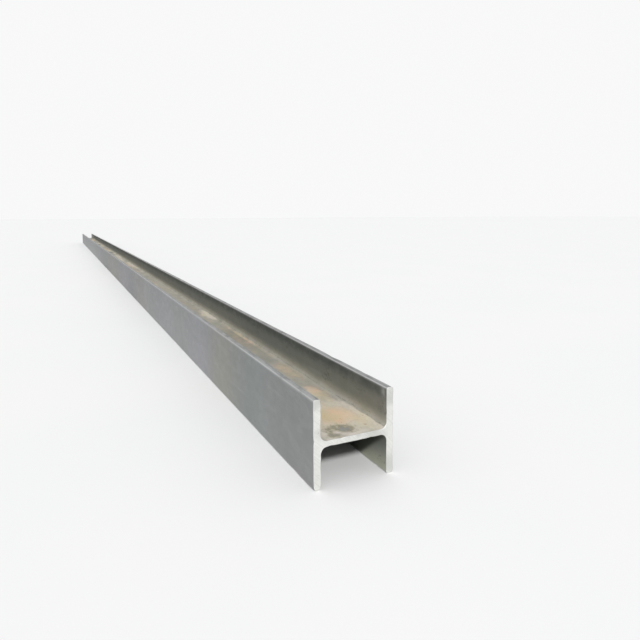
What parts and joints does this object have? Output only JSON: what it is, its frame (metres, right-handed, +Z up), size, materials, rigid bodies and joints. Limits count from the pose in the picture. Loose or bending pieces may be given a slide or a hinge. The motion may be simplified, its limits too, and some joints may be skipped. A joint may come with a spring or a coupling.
{
  "type": "steel i-beam",
  "caption": "Hot-rolled wide-flange steel beam: parallel flanges, a thinner web with filleted roots, and square-sawn ends, lying on its flange toes.",
  "frame": {"origin": "on the floor, midway along the beam and midway between the two flanges", "axes": "+X across the section from flange to flange, +Y along the beam, +Z up, along the width of the flanges"},
  "size_m": [0.1, 6, 0.1],
  "materials": {
    "mill_steel": "rolled mill finish, grey, brighter along the toes and on the sawn ends, dusty with some rust on the web"
  },
  "bodies": {
    "root": {"h_beam": "mill_steel"}
  },
  "joints": []
}
